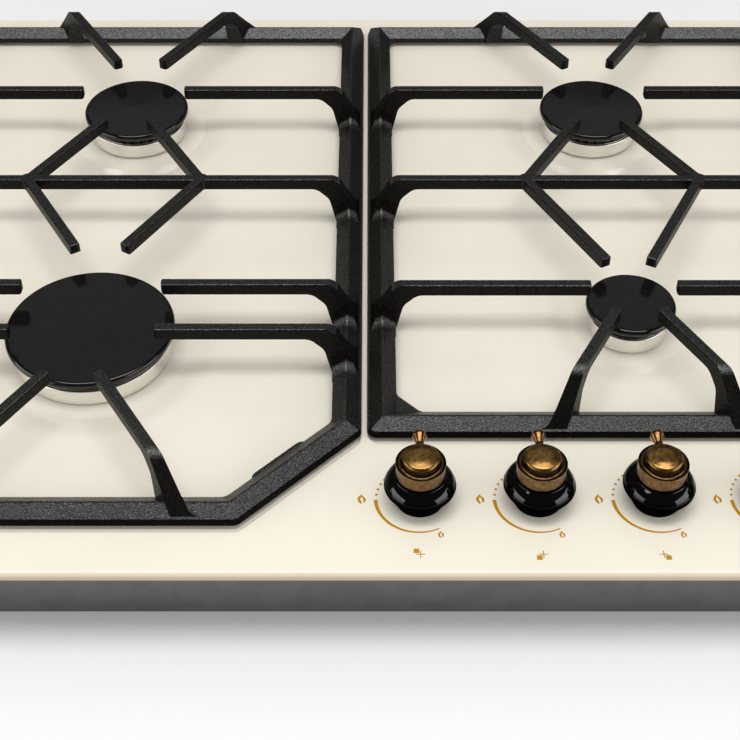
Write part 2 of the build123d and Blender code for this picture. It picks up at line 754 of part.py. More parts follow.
def make_knob_seal(x):
    """Ring in the hole of the panel that keeps spills out and guides the spindle."""
    top = PANEL_Z + 4.0
    corners = [
        (4.6, 2.0),
        (7.4, 2.0),
        (7.4, PANEL_Z),
        (SEAL_RADIUS, PANEL_Z, 0.4),
        (SEAL_RADIUS, top - 0.8, 1.6),
        (8.0, top),
        (4.6, top),
    ]
    return lathe(corners, x, KNOB_Y)


# ---- gas path ----
def along(x, y, z, dx, dy, length, radius):
    """Level cylinder from a point in direction (dx, dy)."""
    return extrude(Plane(origin=(x, y, z), z_dir=(dx, dy, 0)) * Circle(radius), length)


def make_valve(x, burner_name):
    """Gas tap standing on the tray, joined to the rail in front and to its burner's pipe behind."""
    floor = TRAY_Z + TRAY_SHEET
    body = rod(x, KNOB_Y, floor, VALVE_TOP_Z, VALVE_RADIUS)
    body += round_box(x - 10, x + 10, KNOB_Y - 10, KNOB_Y + 10, VALVE_TOP_Z - 3, VALVE_TOP_Z, 2)
    body += along(x, KNOB_Y, RAIL_Z, 0, -1, KNOB_Y - RAIL_Y, 4.5)
    body += along(x, KNOB_Y, PIPE_Z[burner_name], 0, 1, 14, 5.4)
    body -= along(x - 20, RAIL_Y, RAIL_Z, 1, 0, 40, RAIL_RADIUS)
    return body - rod(x, KNOB_Y, -29, VALVE_TOP_Z + 1, BORE)


def make_switch(x):
    """Ignition switch that the push collar closes, round the foot of the spindle."""
    low = VALVE_TOP_Z
    shell = round_box(x - 12, x + 12, KNOB_Y - 10, KNOB_Y + 10, low, low + 4.2, 3)
    shell += round_box(x + 11, x + 19, KNOB_Y - 5, KNOB_Y + 5, low, low + 3.2, 1)
    return shell - rod(x, KNOB_Y, low - 1, low + 6, 7.2)


def make_rail():
    """Gas rail along the valves and back to the inlet."""
    points = [(14, RAIL_Y, RAIL_Z), (RAIL_X_END, RAIL_Y, RAIL_Z), (RAIL_X_END, 205, RAIL_Z)]
    return bent_tube(points, RAIL_RADIUS, 24)


def make_inlet():
    """Inlet fitting with the outside thread behind the tray."""
    wall = TRAY_Y_REAR - TRAY_SHEET
    fitting = along(RAIL_X_END, 205, RAIL_Z, 0, 1, 16, 9)
    nut = Plane(origin=(RAIL_X_END, 214, RAIL_Z), z_dir=(0, 1, 0)) * RegularPolygon(13.0, 6)
    fitting += extrude(nut, wall - 214)
    fitting += along(RAIL_X_END, wall, RAIL_Z, 0, 1, 2, INLET_RADIUS - 0.7)
    fitting += along(RAIL_X_END, wall + 2, RAIL_Z, 0, 1, INLET_LENGTH, INLET_RADIUS)
    return fitting - along(RAIL_X_END, 212, RAIL_Z, 0, 1, 40, 6)


def make_pipe(index):
    """Pipe from one valve to the side of its burner's cup."""
    name = KNOB_BURNERS[index]
    burner = BURNERS[name]
    x, z = KNOB_X[index], PIPE_Z[name]
    start = (x, KNOB_Y + 14, z)
    if name == "front_right":
        tube = along(x, KNOB_Y + 14, z, 0, 1, burner["y"] - KNOB_Y - 14, PIPE_RADIUS)
    else:
        tube = bent_tube([start, (x, burner["y"], z), (burner["x"], burner["y"], z)], PIPE_RADIUS, 16)
    (top_r, top_z), (low_r, low_z) = cup_outside(burner)
    return tube - lathe([(0, low_z), (low_r, low_z), (top_r, top_z), (0, top_z)], burner["x"], burner["y"])


# ---- tray, seal and clamps ----
def clamp_pocket(x, y, grow):
    """Space in the tray's lower edge that a clamp folds into."""
    side = 1 if x > 0 else -1
    inner = x - side * (CLAMP_WIDTH / 2 + 1.5 + grow)
    outer = side * (TRAY_X + 5)
    x0, x1 = sorted((inner, outer))
    front = y - CLAMP_LENGTH - 4 - grow
    return block(x0, x1, front, y + 10 + grow, TRAY_Z - 5, POCKET_Z + grow)


def make_tray(under):
    """Pressed bottom tray with pockets for the clamps, air slots and the holes at the rear."""
    t = TRAY_SHEET
    front, rear = TRAY_Y_FRONT, TRAY_Y_REAR
    outer = round_box(-TRAY_X, TRAY_X, front, rear, TRAY_Z, PANEL_Z, TRAY_CORNER)
    inner = round_box(-TRAY_X + t, TRAY_X - t, front + t, rear - t, TRAY_Z + t, PANEL_Z, TRAY_CORNER - t)
    for x, y in CLAMPS:
        outer -= clamp_pocket(x, y, 0)
        inner -= clamp_pocket(x, y, t)
    tray = (outer - inner) & under
    tray -= along(RAIL_X_END, TRAY_Y_REAR - 5, RAIL_Z, 0, 1, 10, INLET_RADIUS + 0.1)
    tray -= along(GLAND_X, TRAY_Y_REAR - 5, RAIL_Z, 0, 1, 10, GLAND_RADIUS)
    for x, y in CLAMPS:
        tray -= rod(x, y, TRAY_Z, POCKET_Z + 5, SCREW_RADIUS)
    for row_y in (-60.0, 60.0):
        for i in range(-3, 4):
            tray -= block(i * 16 - 2.5, i * 16 + 2.5, row_y - 22, row_y + 22, TRAY_Z - 1, TRAY_Z + 2)
    return tray


def make_gland():
    """Cable gland in the tray's rear wall, empty."""
    wall = TRAY_Y_REAR - TRAY_SHEET
    corners = [
        (GLAND_BORE, -8),
        (GLAND_FLANGE, -8),
        (GLAND_FLANGE, 0),
        (GLAND_RADIUS, 0),
        (GLAND_RADIUS, TRAY_SHEET),
        (GLAND_FLANGE, TRAY_SHEET),
        (GLAND_FLANGE, 4),
        (7.5, 10),
        (GLAND_BORE, 10),
    ]
    body = revolve(Plane.XZ * face_of(corners), Axis.Z)
    return Pos(GLAND_X, wall, RAIL_Z) * Rot(-90, 0, 0) * body


def make_seal(under):
    """Foam strip under the rim, the face that rests on the worktop."""
    gap = SHEET + 0.8
    half_x, half_y = TOP_WIDTH / 2 - gap, TOP_DEPTH / 2 - gap
    strip = round_box(-half_x, half_x, -half_y, half_y, 0, PANEL_Z, TOP_CORNER - gap)
    w = SEAL_WIDTH
    strip -= round_box(-half_x + w, half_x - w, -half_y + w, half_y - w, -1, PANEL_Z + 1, 4)
    return strip & under


def make_clamp(x, y):
    """Swinging worktop clamp with an upturned end, stored along the tray's edge."""
    w = CLAMP_WIDTH / 2
    low = y - CLAMP_LENGTH + w
    plan = [(x - w, low, 2), (x + w, low, 2), (x + w, y + w, 6), (x - w, y + w, 6)]
    plate = prism(plan, CLAMP_Z, CLAMP_Z + CLAMP_SHEET)
    plate += block(x - w + 2, x + w - 2, low, low + CLAMP_SHEET, CLAMP_Z + 1, POCKET_Z - 0.5)
    return plate - rod(x, y, TRAY_Z, POCKET_Z, SCREW_RADIUS + RUNNING)


def make_clamp_screw(x, y):
    """Screw that a clamp turns on, with a spacer above the clamp and a nut over the sheet."""
    sheet_top = POCKET_Z + TRAY_SHEET
    screw = rod(x, y, CLAMP_Z - 0.1, sheet_top, SCREW_RADIUS)
    screw += rod(x, y, CLAMP_Z - 2.4, CLAMP_Z - 0.1, 4.2)
    screw += rod(x, y, CLAMP_Z + CLAMP_SHEET + 0.1, POCKET_Z, 3.6)
    return screw + rod(x, y, sheet_top, sheet_top + 3, 4.0)


def make_spark_generator():
    """Spark generator on the tray's floor, with a post for each electrode."""
    floor = TRAY_Z + TRAY_SHEET
    box = round_box(-40, 24, 150, 190, floor, floor + 24, 3)
    for i in range(4):
        box += rod(-29 + i * 14, 170, floor + 24, floor + 31, 3)
    return box


# ---- write the nodes ----
top, under = make_top()
save("hob_top", top)
save("rim_seal", make_seal(under))
save("bottom_tray", make_tray(under))
for side, gusset in (("left", 0), ("right", GUSSET)):
    save(f"{side}_grate", make_grate(side, gusset, FEET[side]))
    save(f"{side}_grate_pads", *[make_pad(foot[0], foot[1]) for foot in FEET[side]])
for name, burner in BURNERS.items():
    save(f"{name}_burner_cup", make_cup(burner))
    save(f"{name}_burner_head", make_head(burner))
    save(f"{name}_burner_cap", make_cap(burner))
save("injectors", *[make_injector(b) for b in BURNERS.values()])
electrodes = [make_electrode(b) for b in BURNERS.values()]
save("electrode_ceramics", *[pair[0] for pair in electrodes])
save("electrode_pins", *[pair[1] for pair in electrodes])
save("thermocouples", *[make_thermocouple(b) for b in BURNERS.values()])
for number, x in enumerate(KNOB_X, 1):
    save(f"knob_{number}_skirt", make_skirt(x))
    save(f"knob_{number}_cap", make_knob_cap(x))
    save(f"knob_{number}_pointer", make_pointer(x))
    save(f"knob_{number}_spindle", make_spindle(x))
    save(f"knob_{number}_push_collar", make_push_collar(x))
    save(f"knob_{number}_return_spring", make_spring(x))
save("knob_seals", *[make_knob_seal(x) for x in KNOB_X])
save("gas_valves", *[make_valve(x, name) for x, name in zip(KNOB_X, KNOB_BURNERS)])
save("ignition_switches", *[make_switch(x) for x in KNOB_X])
save("gas_rail", make_rail())
save("gas_inlet", make_inlet())
save("gas_pipes", *[make_pipe(i) for i in range(4)])
save("spark_generator", make_spark_generator())
save("cable_gland", make_gland())
for number, (x, y) in enumerate(CLAMPS, 1):
    save(f"worktop_clamp_{number}", make_clamp(x, y))
save("clamp_screws", *[make_clamp_screw(x, y) for x, y in CLAMPS])
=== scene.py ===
"""Looks for the built-in gas cooktop: materials, printed marks, floor, light and camera round the frame."""

import math

import bmesh
import bpy
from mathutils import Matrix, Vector


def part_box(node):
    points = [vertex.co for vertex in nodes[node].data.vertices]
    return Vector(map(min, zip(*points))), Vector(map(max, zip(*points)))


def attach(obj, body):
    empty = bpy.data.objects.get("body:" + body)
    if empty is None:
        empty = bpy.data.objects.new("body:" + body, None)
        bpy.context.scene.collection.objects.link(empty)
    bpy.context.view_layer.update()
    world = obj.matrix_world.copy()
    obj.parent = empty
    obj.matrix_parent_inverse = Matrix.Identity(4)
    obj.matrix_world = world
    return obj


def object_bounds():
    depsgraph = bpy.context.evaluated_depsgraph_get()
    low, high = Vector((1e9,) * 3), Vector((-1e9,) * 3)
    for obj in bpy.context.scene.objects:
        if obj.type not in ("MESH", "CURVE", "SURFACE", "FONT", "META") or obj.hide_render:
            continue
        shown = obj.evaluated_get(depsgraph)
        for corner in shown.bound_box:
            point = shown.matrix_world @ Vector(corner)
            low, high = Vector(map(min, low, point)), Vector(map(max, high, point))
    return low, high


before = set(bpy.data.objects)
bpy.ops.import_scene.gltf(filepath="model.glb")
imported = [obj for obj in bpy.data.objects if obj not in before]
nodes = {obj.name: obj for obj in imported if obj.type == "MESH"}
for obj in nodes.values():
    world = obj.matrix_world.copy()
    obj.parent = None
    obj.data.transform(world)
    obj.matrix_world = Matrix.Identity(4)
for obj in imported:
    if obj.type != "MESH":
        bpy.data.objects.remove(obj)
cad_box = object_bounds()
MM = 0.001

# ---- places taken from the frame ----
PANEL_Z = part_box("hob_top")[1].z
KNOBS = [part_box(f"knob_{number}_skirt") for number in range(1, 5)]
KNOB_CENTRES = [(low + high) / 2 for low, high in KNOBS]
FLOOR_Z = cad_box[0][2]

# ---- heights at which a finish changes, in millimetres ----
# Painted shade: above CROWN_Z the burner heads are painted black, for the shade under the caps' overhang.
CROWN_Z = 14.4  # the slotted crown of a burner head stands above this
CROWN_BLEND = 0.2
BRONZE_FROM_Z = 30.0  # the bronze's tones run from here
BRONZE_TO_Z = 40.0

# ---- printed marks on the panel, in millimetres from the middle of each knob's print ----
PRINT_X = 26.7
PRINT_PITCH = 59.0
PRINT_THICK = 0.06
ARC_OUTER = 21.8
ARC_START = 92.0  # degrees anticlockwise from the rear, as every angle here
ARC_END = 208.2
ARC_WIDE = 1.85
ARC_NARROW = 0.62
ARC_STEPS = 48
DOT_ANGLES = (42.3, 52.3, 62.3, 72.4, 82.5)
DOT_RADIUS = 0.68
DOTS_AT = 20.7
DOT_CORNERS = 20
BIG_FLAME = (-27.85, -0.3)
SMALL_FLAME = (10.8, -22.8)
SMALL_FLAME_SCALE = 0.69
ICON_Y = -34.8
ICON_SQUARES = ((-1, 1), (-1, -1), (1, -1), (1, 1))  # burner marked on each knob, seen from above
ICON_SQUARE_AT = 2.0
ICON_SQUARE_HALF = 1.32
ICON_ARM = 2.15
ICON_LINE = 0.5
ICON_CROSS_SHIFT = 0.6
FLAME_LEFT = ((0.25, 3.15), (-0.65, 1.9), (-1.35, 0.3), (-1.05, -1.2), (-0.1, -2.75))
FLAME_LEFT_WIDTHS = (0.35, 1.05, 1.4, 1.3, 0.9)
FLAME_RIGHT = ((-0.05, 2.1), (0.75, 1.15), (1.4, 0.0), (1.35, -1.1), (0.95, -2.0))
FLAME_RIGHT_WIDTHS = (0.5, 1.05, 1.25, 1.1, 0.6)

# ---- floor and surround ----
FLOOR_SIZE = 12.0
FLOOR_GAP = 0.0005
SURROUND_STRENGTH = 0.05  # for what shines
FILL_STRENGTH = 0.56  # for matt faces

# ---- camera ----
IMAGE_SIZE = 740
CAMERA_PLACE = (0.0031, -0.6602, 0.5352)
CAMERA_PITCH = 0.7677  # radians below the horizon
SENSOR_WIDTH = 36.0
FOCAL_PX = 1391.7
CENTRE_PX = (370.2, 365.5)
CLIP_START = 0.02


# ---- node material helpers ----
class Shader:
    """A node material with a Principled shader and short ways to add textures to it."""

    def __init__(self, name, **values):
        self.material = bpy.data.materials.new(name)
        self.material.use_nodes = True
        self.tree = self.material.node_tree
        self.main = self.tree.nodes["Principled BSDF"]
        for socket, value in values.items():
            self.main.inputs[socket.replace("_", " ")].default_value = value
        self.place = self.tree.nodes.new("ShaderNodeTexCoord").outputs["Object"]
        self.normal = None

    def link(self, output, socket):
        self.tree.links.new(output, socket)

    def stretched(self, scale):
        """Object coordinates, scaled differently along each axis."""
        mapping = self.tree.nodes.new("ShaderNodeMapping")
        mapping.inputs["Scale"].default_value = scale
        self.link(self.place, mapping.inputs["Vector"])
        return mapping.outputs["Vector"]

    def noise(self, size_mm, detail=3.0, roughness=0.5, place=None):
        """Noise whose blobs are about size_mm across."""
        node = self.tree.nodes.new("ShaderNodeTexNoise")
        node.inputs["Scale"].default_value = 1.0 / (size_mm * MM)
        node.inputs["Detail"].default_value = detail
        node.inputs["Roughness"].default_value = roughness
        self.link(place or self.place, node.inputs["Vector"])
        return node.outputs["Fac"]

    def ramp(self, source, *stops):
        """Colours or grey values at positions along a source."""
        node = self.tree.nodes.new("ShaderNodeValToRGB")
        elements = node.color_ramp.elements
        while len(elements) < len(stops):
            elements.new(0.5)
        for element, (position, value) in zip(elements, stops):
            element.position = position
            element.color = (*value, 1) if isinstance(value, tuple) else (value, value, value, 1)
        self.link(source, node.inputs["Fac"])
        return node.outputs["Color"]

    def bump(self, source, height_mm, strength=1.0):
        """Adds relief of a height, on top of any added before."""
        node = self.tree.nodes.new("ShaderNodeBump")
        node.inputs["Distance"].default_value = height_mm * MM
        node.inputs["Strength"].default_value = strength
        self.link(source, node.inputs["Height"])
        if self.normal:
            self.link(self.normal, node.inputs["Normal"])
        self.normal = node.outputs["Normal"]
        self.link(self.normal, self.main.inputs["Normal"])
        return self

    def colour(self, output):
        self.link(output, self.main.inputs["Base Color"])

    def rough(self, output):
        self.link(output, self.main.inputs["Roughness"])

    def shine(self, output):
        self.link(output, self.main.inputs["Specular IOR Level"])

    def part(self, vector, axis):
        """One coordinate of a vector."""
        split = self.tree.nodes.new("ShaderNodeSeparateXYZ")
        self.link(vector, split.inputs[0])
        return split.outputs[axis]

    def heights(self, low_mm, high_mm):
        """Height in the object, from 0 at one height to 1 at another."""
        node = self.tree.nodes.new("ShaderNodeMapRange")
        node.inputs["From Min"].default_value = low_mm * MM
        node.inputs["From Max"].default_value = high_mm * MM
        self.link(self.part(self.place, "Z"), node.inputs["Value"])
        return node.outputs["Result"]

    def times(self, first, second):
        """Product of two colours."""
        node = self.tree.nodes.new("ShaderNodeVectorMath")
        node.operation = "MULTIPLY"
        self.link(first, node.inputs[0])
        self.link(second, node.inputs[1])
        return node.outputs["Vector"]

    def by_slope(self, *stops):
        """Values or colours that depend on how far a face looks up, from 0 for a wall to 1 for a level face."""
        upward = self.part(self.tree.nodes["Texture Coordinate"].outputs["Normal"], "Z")
        return self.ramp(upward, *stops)

    def paint_shade_above(self, height_mm):
        """Paints shade: blackens what lies above a height."""
        shade = self.ramp(self.heights(height_mm, height_mm + CROWN_BLEND), (0.0, 1.0), (1.0, 0.02))
        self.colour(self.times(self.main.inputs["Base Color"].links[0].from_socket, shade))


def enamel():
    """Ivory glass enamel: glossy and faintly wavy, with painted shade: faces that turn away from level, most of
    all the rim's turned-down front, are painted darker and browner.
    """
    shader = Shader("ivory_enamel", IOR=1.52)
    ivory = shader.ramp(shader.noise(70, 2), (0.35, (0.865, 0.808, 0.685)), (0.65, (0.88, 0.823, 0.70)))
    # painted shade: the colour darkens and browns as a face turns from level
    stops = (0.0, (0.60, 0.54, 0.47)), (0.85, (0.80, 0.765, 0.72)), (0.985, (1.0, 1.0, 1.0))
    shader.colour(shader.times(ivory, shader.by_slope(*stops)))
    shader.shine(shader.by_slope((0.0, 0.0), (0.88, 0.05), (0.985, 0.5)))
    shader.rough(shader.ramp(shader.noise(25, 2), (0.3, 0.03), (0.7, 0.05)))
    return shader.bump(shader.noise(3.0, 2), 0.02, 0.12).material


def cast_iron():
    """Black enamel over sand-cast iron, with the grain of the sand."""
    shader = Shader("black_cast_iron", IOR=1.7)
    shader.colour(shader.ramp(shader.noise(0.8, 4), (0.35, (0.001, 0.001, 0.001)), (0.68, (0.009, 0.008, 0.007))))
    shader.rough(shader.ramp(shader.noise(0.75, 4), (0.35, 0.20), (0.65, 0.42)))
    slopes = shader.by_slope((0.0, 0.2), (0.1, 0.03), (0.6, 0.0), (0.74, 1.0), (1.0, 1.0))
    shader.shine(shader.times(slopes, shader.ramp(shader.noise(0.7, 2), (0.40, 0.36), (0.60, 1.0))))
    shader.bump(shader.noise(7, 3), 0.35, 0.35)
    return shader.bump(shader.noise(0.75, 3, 0.7), 0.26, 1.0).material


def black_cap():
    """Semi-gloss black enamel of the burner caps."""
    shader = Shader("black_cap_enamel", IOR=1.5)
    shader.colour(shader.ramp(shader.noise(5, 3), (0.35, (0.004, 0.004, 0.004)), (0.65, (0.006, 0.006, 0.006))))
    shader.rough(shader.ramp(shader.noise(3, 3), (0.3, 0.12), (0.7, 0.16)))
    return shader.bump(shader.noise(0.9, 3), 0.02, 0.25).material


def turned_metal(name, colour, low, high, groove=0.02, painted_shade_above=None):
    """Turned metal: grooves run round the axis, so they only change with height. It may be painted black above
    one, as painted shade.
    """
    shader = Shader(name, Metallic=1.0)
    across = shader.stretched((0.02, 0.02, 6.0))
    dark = tuple(0.86 * c for c in colour)
    shader.colour(shader.ramp(shader.noise(1.5, 3, place=across), (0.3, dark), (0.7, colour)))
    shader.rough(shader.ramp(shader.noise(1.0, 3, place=across), (0.3, low), (0.7, high)))
    if painted_shade_above is not None:
        shader.paint_shade_above(painted_shade_above)
    return shader.bump(shader.noise(0.8, 2, place=across), groove, 0.5).material


def plain_metal(name, colour, low, high, grain_mm=2.0):
    """Cast, drawn or plated metal with blotches and a fine grain."""
    shader = Shader(name, Metallic=1.0)
    dark = tuple(0.8 * c for c in colour)
    shader.colour(shader.ramp(shader.noise(9, 4), (0.3, dark), (0.7, colour)))
    shader.rough(shader.ramp(shader.noise(grain_mm, 4), (0.3, low), (0.7, high)))
    return shader.bump(shader.noise(grain_mm / 3, 3), 0.03, 0.5).material


def galvanised():
    """Zinc-coated sheet with its crystal spangle; its greys are a dull zinc darkened further as painted shade, for
    the shadow under the rim's overhang.
    """
    shader = Shader("galvanised_sheet", Metallic=0.8)
    cells = shader.tree.nodes.new("ShaderNodeTexVoronoi")
    cells.inputs["Scale"].default_value = 1 / (9 * MM)
    shader.link(shader.place, cells.inputs["Vector"])
    shader.colour(shader.ramp(cells.outputs["Color"], (0.2, (0.150, 0.152, 0.148)), (0.8, (0.172, 0.174, 0.170))))
    shader.rough(shader.ramp(cells.outputs["Color"], (0.1, 0.36), (0.9, 0.44)))
    return shader.bump(shader.noise(1.2, 3), 0.03, 0.4).material


def plastic(name, colour, low, high, grain_mm=0.8, height_mm=0.02, dull=None):
    """Moulded plastic, rubber or foam: a colour with a grain, and maybe a weaker shine on its underside."""
    shader = Shader(name)
    light = tuple(min(1.0, 1.3 * c) for c in colour)
    shader.colour(shader.ramp(shader.noise(8, 3), (0.3, colour), (0.7, light)))
    shader.rough(shader.ramp(shader.noise(4, 3), (0.3, low), (0.7, high)))
    if dull:
        shader.shine(shader.by_slope((0.35, dull[0]), (0.62, dull[1])))
    return shader.bump(shader.noise(grain_mm, 3), height_mm, 0.5).material


def bronze():
    """Old bronze: brown collar with a painted highlight along its lip, almost black in the hollow, and golden
    towards the top of the dome, partly its own colour and partly painted light from above.
    """
    shader = Shader("patinated_bronze", Metallic=1.0)
    brown, lip_painted_highlight = (0.24, 0.145, 0.064), (0.40, 0.25, 0.10)
    dark, gold = (0.030, 0.016, 0.007), (0.50, 0.29, 0.09)
    # the light stop at the lip is a painted highlight; the rise from dark to gold up the dome is partly painted
    # light from above
    tones = (0.32, brown), (0.345, lip_painted_highlight), (0.365, dark), (0.64, dark), (0.79, gold)
    tone = shader.ramp(shader.heights(BRONZE_FROM_Z, BRONZE_TO_Z), *tones)
    blotch = shader.ramp(shader.noise(2.4, 5, 0.6), (0.34, (0.5, 0.46, 0.42)), (0.62, (1.0, 1.0, 1.0)))
    shader.colour(shader.times(tone, blotch))
    shader.rough(shader.ramp(shader.noise(2.4, 4), (0.3, 0.26), (0.7, 0.36)))
    return shader.bump(shader.noise(1.2, 3), 0.01, 0.25).material


def polished_bronze():
    """Bronze of the pointers, smoother than the caps."""
    shader = Shader("polished_bronze", Metallic=1.0)
    shader.colour(shader.ramp(shader.noise(2, 4), (0.3, (0.13, 0.065, 0.026)), (0.7, (0.32, 0.17, 0.065))))
    shader.rough(shader.ramp(shader.noise(1.2, 3), (0.3, 0.18), (0.7, 0.28)))
    return shader.bump(shader.noise(0.7, 2), 0.02, 0.3).material


def gold_print():
    """Ochre-gold print fired into the enamel."""
    shader = Shader("gold_print", IOR=1.5, Specular_IOR_Level=0.15)
    shader.colour(shader.ramp(shader.noise(1.5, 3), (0.3, (0.45, 0.225, 0.002)), (0.7, (0.52, 0.262, 0.002))))
    shader.rough(shader.ramp(shader.noise(2, 2), (0.3, 0.26), (0.7, 0.36)))
    return shader.bump(shader.noise(0.5, 2), 0.01, 0.3).material


# ---- finish of every CAD node ----
def finish_for(name, finishes):
    """The material that a CAD node gets, from the last words of its name."""
    for ending, material in finishes.items():
        if name.endswith(ending):
            return material
    raise ValueError(f"no finish for {name}")


def dress_nodes():
    """Gives every CAD node its own finish."""
    brass = plain_metal("machined_brass", (0.72, 0.52, 0.24), 0.22, 0.34)
    zinc = plain_metal("zinc_plated_steel", (0.60, 0.61, 0.62), 0.24, 0.38)
    die_cast = plain_metal("die_cast_aluminium", (0.56, 0.56, 0.55), 0.36, 0.52, 1.2)
    skirt = plastic("glossy_black", (0.0008, 0.0008, 0.0008), 0.035, 0.06, 2.0, 0.004, (0.0, 0.5))
    metal_cap = bronze()
    finishes = {
        "hob_top": enamel(),
        "rim_seal": plastic("foam_strip", (0.02, 0.02, 0.02), 0.75, 0.9, 0.6, 0.12),
        "bottom_tray": galvanised(),
        "_grate": cast_iron(),
        "_grate_pads": plastic("silicone_pads", (0.015, 0.015, 0.015), 0.6, 0.7),
        "_burner_cup": die_cast,
        # painted shade: the head is painted black above CROWN_Z, for the shade under the cap
        "_burner_head": turned_metal("turned_aluminium", (0.94, 0.925, 0.89), 0.24, 0.34, painted_shade_above=CROWN_Z),
        "_burner_cap": black_cap(),
        "injectors": brass,
        "electrode_ceramics": plastic("glazed_ceramic", (0.78, 0.75, 0.68), 0.18, 0.26, 1.5, 0.01),
        "electrode_pins": zinc,
        "thermocouples": plain_metal("probe_steel", (0.50, 0.46, 0.42), 0.28, 0.42),
        "_skirt": skirt,
        "_cap": metal_cap,
        "_pointer": polished_bronze(),
        "_spindle": turned_metal("turned_steel", (0.60, 0.60, 0.60), 0.2, 0.3),
        "_push_collar": plastic("white_moulding", (0.72, 0.71, 0.68), 0.4, 0.5),
        "_return_spring": zinc,
        "knob_seals": plastic("satin_black", (0.001, 0.001, 0.001), 0.3, 0.4, dull=(0.0, 0.05)),
        "gas_valves": die_cast,
        "gas_rail": zinc,
        "gas_pipes": plain_metal("drawn_aluminium", (0.74, 0.74, 0.74), 0.22, 0.34),
        "gas_inlet": brass,
        "ignition_switches": plastic("black_moulding", (0.02, 0.02, 0.02), 0.45, 0.6),
        "spark_generator": plastic("dark_moulding", (0.014, 0.014, 0.016), 0.45, 0.6),
        "cable_gland": plastic("gland_moulding", (0.01, 0.01, 0.01), 0.4, 0.55),
        "clamp_screws": zinc,
    }
    finishes.update({f"worktop_clamp_{number}": zinc for number in range(1, 5)})
    for name, node in nodes.items():
        node.data.materials.clear()
        node.data.materials.append(finish_for(name, finishes))


# ---- printed marks ----
def outline_piece(name, loops, material):
    """Thin flat piece on the panel from closed outlines in millimetres, each a list of (x, y) corners."""
    mesh = bmesh.new()
    for loop in loops:
        low = [mesh.verts.new((x * MM, y * MM, PANEL_Z - PRINT_THICK * MM)) for x, y in loop]
        high = [mesh.verts.new((x * MM, y * MM, PANEL_Z + PRINT_THICK * MM)) for x, y in loop]
        mesh.faces.new(high)
        mesh.faces.new(list(reversed(low)))
        for i in range(len(loop)):
            j = (i + 1) % len(loop)
            mesh.faces.new((low[i], low[j], high[j], high[i]))
    bmesh.ops.triangulate(mesh, faces=[f for f in mesh.faces if len(f.verts) > 4])
    bmesh.ops.recalc_face_normals(mesh, faces=mesh.faces)
    data = bpy.data.meshes.new(name)
    mesh.to_mesh(data)
    mesh.free()
    piece = bpy.data.objects.new(name, data)
    bpy.context.scene.collection.objects.link(piece)
    data.materials.append(material)
    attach(piece, "housing")


def polar(centre, radius, angle):
    """Point at a radius and an angle, anticlockwise from the rear."""
    turn = math.radians(angle)
    return centre[0] - radius * math.sin(turn), centre[1] + radius * math.cos(turn)


def arc_loop(centre):
    """Tapering arc: its outer edge is round and its inner edge runs out towards it."""
    angles = [ARC_START + (ARC_END - ARC_START) * i / ARC_STEPS for i in range(ARC_STEPS + 1)]
    widths = [ARC_WIDE + (ARC_NARROW - ARC_WIDE) * i / ARC_STEPS for i in range(ARC_STEPS + 1)]
    outer = [polar(centre, ARC_OUTER, a) for a in angles]
    inner = [polar(centre, ARC_OUTER - w, a) for a, w in zip(angles, widths)]
    return list(reversed(outer)) + inner


def dot_loop(centre, angle):
    """Round dot on the dotted part of the scale."""
    x, y = polar(centre, DOTS_AT, angle)
    turns = [2 * math.pi * i / DOT_CORNERS for i in range(DOT_CORNERS)]
    return [(x + DOT_RADIUS * math.cos(t), y + DOT_RADIUS * math.sin(t)) for t in turns]


def curve_through(points, steps=6):
    """Smooth line through points, as a list of points."""
    line = []
    ends = [points[0]] + list(points) + [points[-1]]
    for before, start, end, after in zip(ends, ends[1:], ends[2:], ends[3:]):
        for step in range(steps):
            t = step / steps
            point = []
            for a, b, c, d in zip(before, start, end, after):
                square = (2 * a - 5 * b + 4 * c - d) * t**2
                cube = (3 * b - a - 3 * c + d) * t**3
                point.append(0.5 * (2 * b + (c - a) * t + square + cube))
            line.append(tuple(point))
    return line + [tuple(points[-1])]


def stroke_loop(points, widths):
    """Outline of a stroke along a smooth line, as wide as widths say at its points."""
    line = curve_through([(*point, width) for point, width in zip(points, widths)])
    left, right = [], []
    for i, (x, y, width) in enumerate(line):
        before = line[max(i - 1, 0)]
        after = line[min(i + 1, len(line) - 1)]
        run = Vector((after[0] - before[0], after[1] - before[1])).normalized()
        left.append((x - run.y * width / 2, y + run.x * width / 2))
        right.append((x + run.y * width / 2, y - run.x * width / 2))
    return left + list(reversed(right))


def flame_loops(centre, scale):
    """Flame made of two strokes that lean together at the top."""
    loops = []
    for points, widths in ((FLAME_LEFT, FLAME_LEFT_WIDTHS), (FLAME_RIGHT, FLAME_RIGHT_WIDTHS)):
        placed = [(centre[0] + scale * x, centre[1] + scale * y) for x, y in points]
        loops.append(stroke_loop(placed, [scale * w for w in widths]))
    return loops


def box_loop(x, y, half_x, half_y):
    """Rectangle round a centre."""
    return [(x - half_x, y - half_y), (x + half_x, y - half_y), (x + half_x, y + half_y), (x - half_x, y + half_y)]


def icon_loops(x, y, side, row):
    """Cross with a square in the quarter of the marked burner."""
    arm, line = ICON_ARM, ICON_LINE / 2
    square_x, square_y = x + side * ICON_SQUARE_AT, y + row * ICON_SQUARE_AT
    return [
        box_loop(x, y, arm, line),
        box_loop(x, y + (arm + line) / 2, line, (arm - line) / 2),
        box_loop(x, y - (arm + line) / 2, line, (arm - line) / 2),
        box_loop(square_x, square_y, ICON_SQUARE_HALF, ICON_SQUARE_HALF),
    ]


